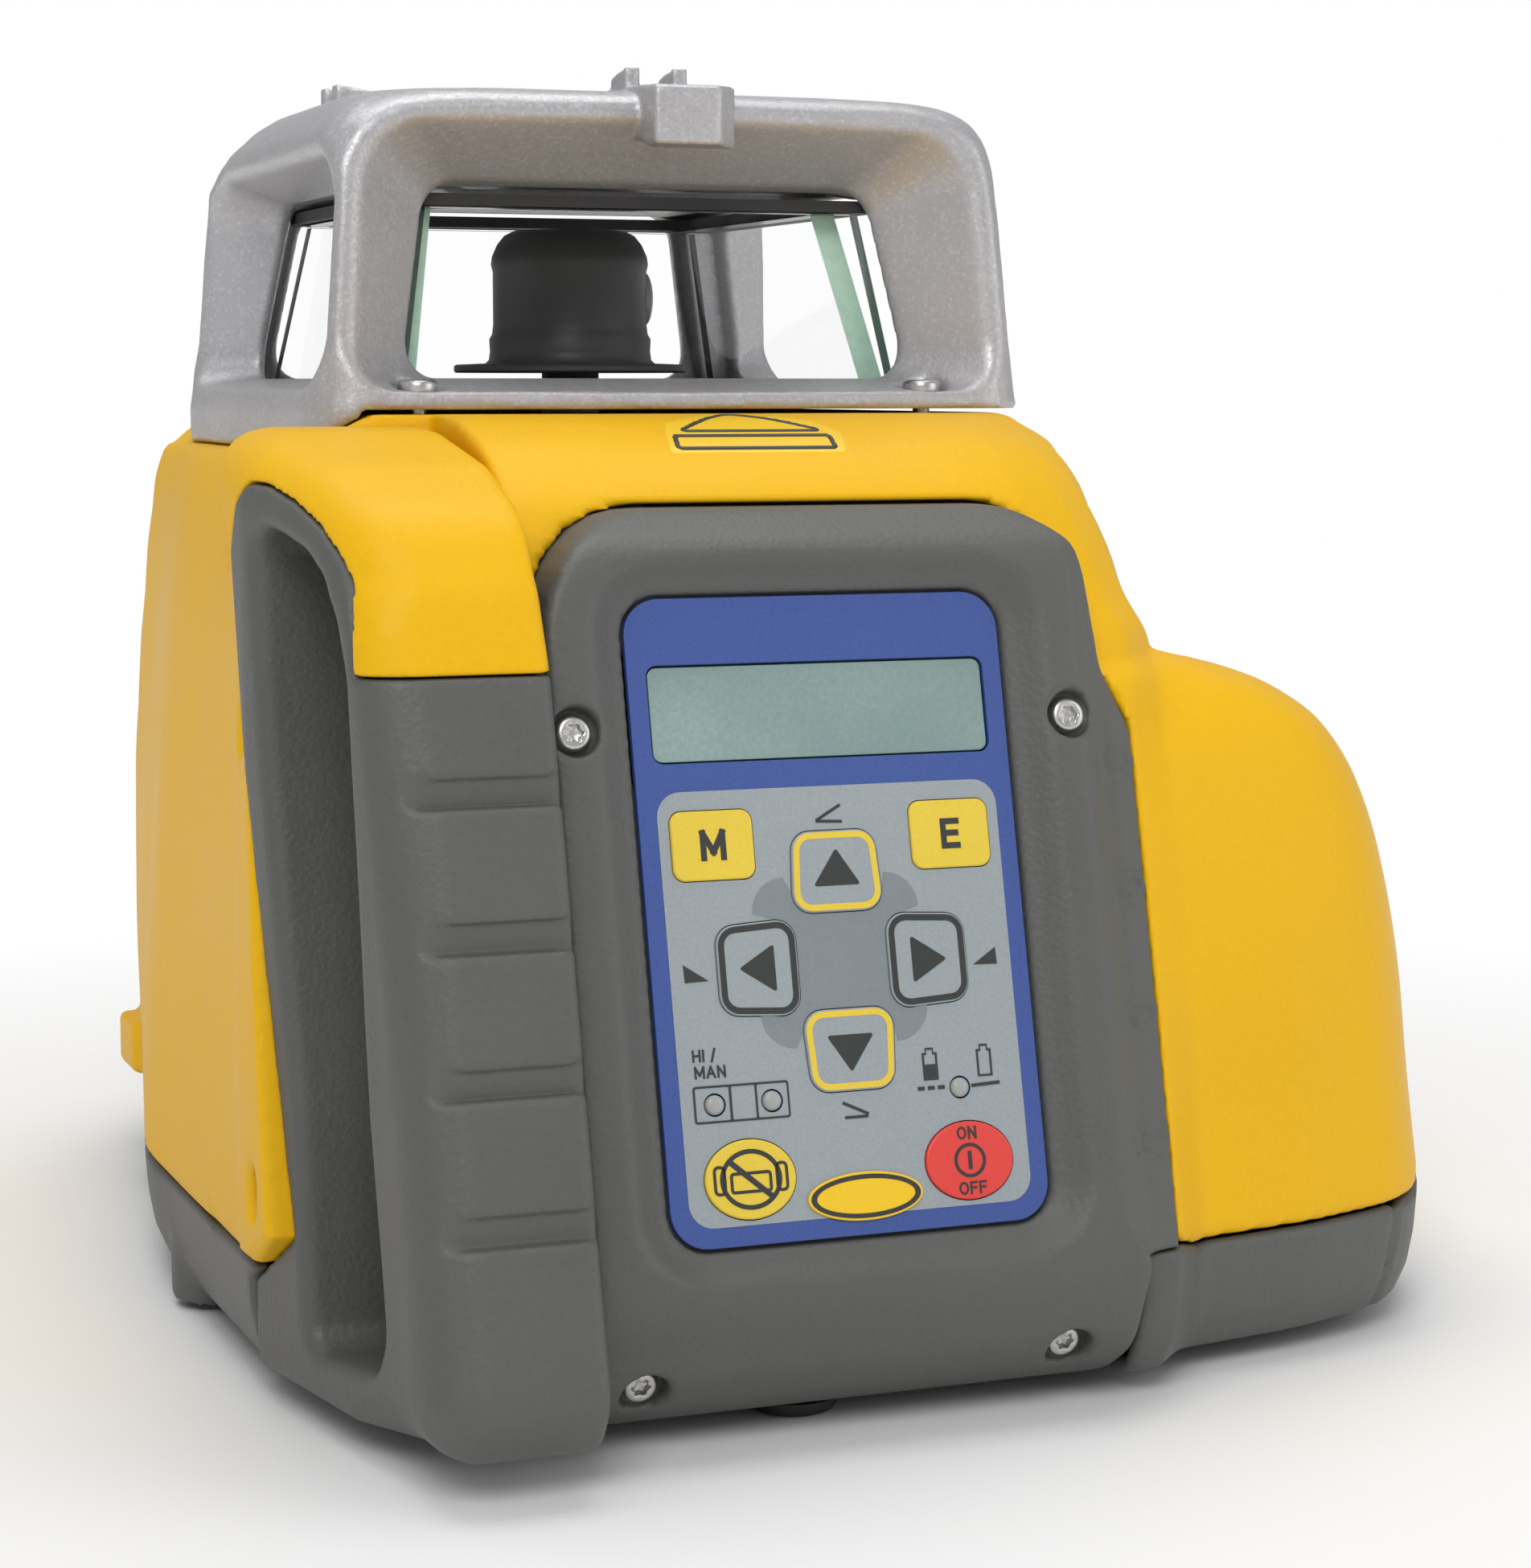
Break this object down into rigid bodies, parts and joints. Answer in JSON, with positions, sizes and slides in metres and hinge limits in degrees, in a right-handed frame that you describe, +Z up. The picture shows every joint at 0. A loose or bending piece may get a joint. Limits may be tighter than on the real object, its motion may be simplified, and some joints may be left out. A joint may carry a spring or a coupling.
{
  "type": "rotating laser level",
  "caption": "Self-levelling rotating laser level with a glazed cast lighthouse, carrying handle, sloped keypad, battery bay and tripod socket.",
  "frame": {"origin": "bottom centre of the bounding box, on the ground under the feet", "axes": "+Z up along the rotor axis, -Y towards the keypad, +X to the right seen from the keypad side"},
  "size_m": [0.1978, 0.2731, 0.198],
  "materials": {
    "yellow_plastic": "moulded ABS with a fine leather grain, warm yellow",
    "dark_plastic": "moulded ABS, warm dark grey, fine leather grain",
    "cast_aluminium": "die-cast aluminium, bead blasted",
    "blue_film": "printed polyester keypad film, fine sand texture",
    "display": "grey-green liquid crystal display behind a clear window",
    "key_yellow": "embossed film key, yellow print",
    "key_grey": "embossed film key, light grey print",
    "key_red": "embossed film key, red print",
    "lamp_lens": "clear domed indicator lens",
    "stainless_steel": "machined stainless steel",
    "brass": "turned brass",
    "rubber": "black moulded rubber",
    "window_glass": "clear float glass with green cut edges",
    "rotor_plastic": "dark grey moulded rotor cover",
    "circuit_board": "green solder mask",
    "cell_wrap": "printed metal wrap on a D size cell"
  },
  "bodies": {
    "chassis": {"upper_housing": "yellow_plastic", "handle_cover": "yellow_plastic", "base_housing": "dark_plastic", "front_bezel": "dark_plastic", "handle_frame": "dark_plastic", "lighthouse": "cast_aluminium", "keypad_film": "blue_film", "display_module": "display", "lamp_lens_1": "lamp_lens", "lamp_lens_2": "lamp_lens", "lamp_lens_3": "lamp_lens", "bezel_screw_1": "stainless_steel", "bezel_screw_2": "stainless_steel", "bezel_screw_3": "stainless_steel", "bezel_screw_4": "stainless_steel", "cage_screw_1": "stainless_steel", "cage_screw_2": "stainless_steel", "cage_screw_3": "stainless_steel", "cage_screw_4": "stainless_steel", "level_motor_x": "stainless_steel", "level_motor_y": "stainless_steel", "tripod_insert": "brass", "foot_front": "rubber", "foot_rear_left": "rubber", "foot_rear_right": "rubber", "lighthouse_gasket": "rubber", "charger_jack": "rubber", "window_front": "window_glass", "window_rear": "window_glass", "window_left": "window_glass", "window_right": "window_glass", "main_board": "circuit_board", "keypad_board": "circuit_board", "battery_cell_1": "cell_wrap", "battery_cell_2": "cell_wrap", "battery_cell_3": "cell_wrap", "battery_cell_4": "cell_wrap"},
    "key_manual": {"key_manual": "key_yellow"},
    "key_enter": {"key_enter": "key_yellow"},
    "key_up": {"key_up": "key_grey"},
    "key_left": {"key_left": "key_grey"},
    "key_right": {"key_right": "key_grey"},
    "key_down": {"key_down": "key_grey"},
    "key_standby": {"key_standby": "key_yellow"},
    "key_power": {"key_power": "key_red"},
    "gimbal_ring": {"gimbal_ring": "cast_aluminium"},
    "optics": {"optics_barrel": "cast_aluminium", "spindle_bearing": "stainless_steel", "laser_module": "brass", "rotor_motor": "stainless_steel", "drive_belt": "rubber"},
    "rotor": {"rotor_head": "rotor_plastic", "rotor_window": "window_glass", "rotor_pulley": "brass"},
    "motor_pulley": {"motor_pulley": "brass"},
    "level_plunger_x": {"level_plunger_x": "brass"},
    "level_plunger_y": {"level_plunger_y": "brass"},
    "battery_door": {"battery_door": "yellow_plastic"},
    "door_knob": {"door_knob": "dark_plastic"},
    "charger_cap": {"charger_cap": "rubber"}
  },
  "joints": [
    {"name": "key_manual_press", "type": "slide", "parent": "chassis", "child": "key_manual", "axis": [0, 0.9713, -0.238], "range_m": [0, 0.0005], "stiffness_N_per_m": 2000},
    {"name": "key_enter_press", "type": "slide", "parent": "chassis", "child": "key_enter", "axis": [0, 0.9713, -0.238], "range_m": [0, 0.0005], "stiffness_N_per_m": 2000},
    {"name": "key_up_press", "type": "slide", "parent": "chassis", "child": "key_up", "axis": [0, 0.9713, -0.238], "range_m": [0, 0.0005], "stiffness_N_per_m": 2000},
    {"name": "key_left_press", "type": "slide", "parent": "chassis", "child": "key_left", "axis": [0, 0.9713, -0.238], "range_m": [0, 0.0005], "stiffness_N_per_m": 2000},
    {"name": "key_right_press", "type": "slide", "parent": "chassis", "child": "key_right", "axis": [0, 0.9713, -0.238], "range_m": [0, 0.0005], "stiffness_N_per_m": 2000},
    {"name": "key_down_press", "type": "slide", "parent": "chassis", "child": "key_down", "axis": [0, 0.9713, -0.238], "range_m": [0, 0.0005], "stiffness_N_per_m": 2000},
    {"name": "key_standby_press", "type": "slide", "parent": "chassis", "child": "key_standby", "axis": [0, 0.9713, -0.238], "range_m": [0, 0.0005], "stiffness_N_per_m": 2000},
    {"name": "key_power_press", "type": "slide", "parent": "chassis", "child": "key_power", "axis": [0, 0.9713, -0.238], "range_m": [0, 0.0005], "stiffness_N_per_m": 2000},
    {"name": "gimbal_tilt_y", "type": "hinge", "parent": "chassis", "child": "gimbal_ring", "pos_m": [-0.0206, 0.01406, 0.1], "axis": [0, 1, 0], "range_deg": [-5, 5]},
    {"name": "gimbal_tilt_x", "type": "hinge", "parent": "gimbal_ring", "child": "optics", "pos_m": [-0.0206, 0.01406, 0.1], "axis": [1, 0, 0], "range_deg": [-5, 5]},
    {"name": "rotor_spin", "type": "hinge", "parent": "optics", "child": "rotor", "pos_m": [-0.0206, 0.01406, 0.14], "axis": [0, 0, 1], "continuous": true},
    {"name": "motor_pulley_spin", "type": "hinge", "parent": "optics", "child": "motor_pulley", "pos_m": [0.0084, 0.01406, 0.136], "axis": [0, 0, 1], "continuous": true},
    {"name": "plunger_x_slide", "type": "slide", "parent": "chassis", "child": "level_plunger_x", "axis": [1, 0, 0], "range_m": [-0.003, 0.003]},
    {"name": "plunger_y_slide", "type": "slide", "parent": "chassis", "child": "level_plunger_y", "axis": [0, 1, 0], "range_m": [-0.003, 0.003]},
    {"name": "battery_door_hinge", "type": "hinge", "parent": "chassis", "child": "battery_door", "pos_m": [0.0841, 0.11136, 0.044], "axis": [0, 0, -1], "range_deg": [0, 110]},
    {"name": "door_knob_turn", "type": "hinge", "parent": "battery_door", "child": "door_knob", "pos_m": [0.0598, 0.11206, 0.044], "axis": [0, 1, 0], "range_deg": [0, 90]},
    {"name": "charger_cap_hinge", "type": "hinge", "parent": "chassis", "child": "charger_cap", "pos_m": [-0.0546, 0.13536, 0.024], "axis": [-1, 0, 0], "range_deg": [0, 100]}
  ],
  "couplings": [
    {"joint": "motor_pulley_spin", "follows": "rotor_spin", "ratio": 2.4},
    {"joint": "plunger_x_slide", "follows": "gimbal_tilt_y", "m_per_rad": -0.034},
    {"joint": "plunger_y_slide", "follows": "gimbal_tilt_x", "m_per_rad": 0.034}
  ]
}
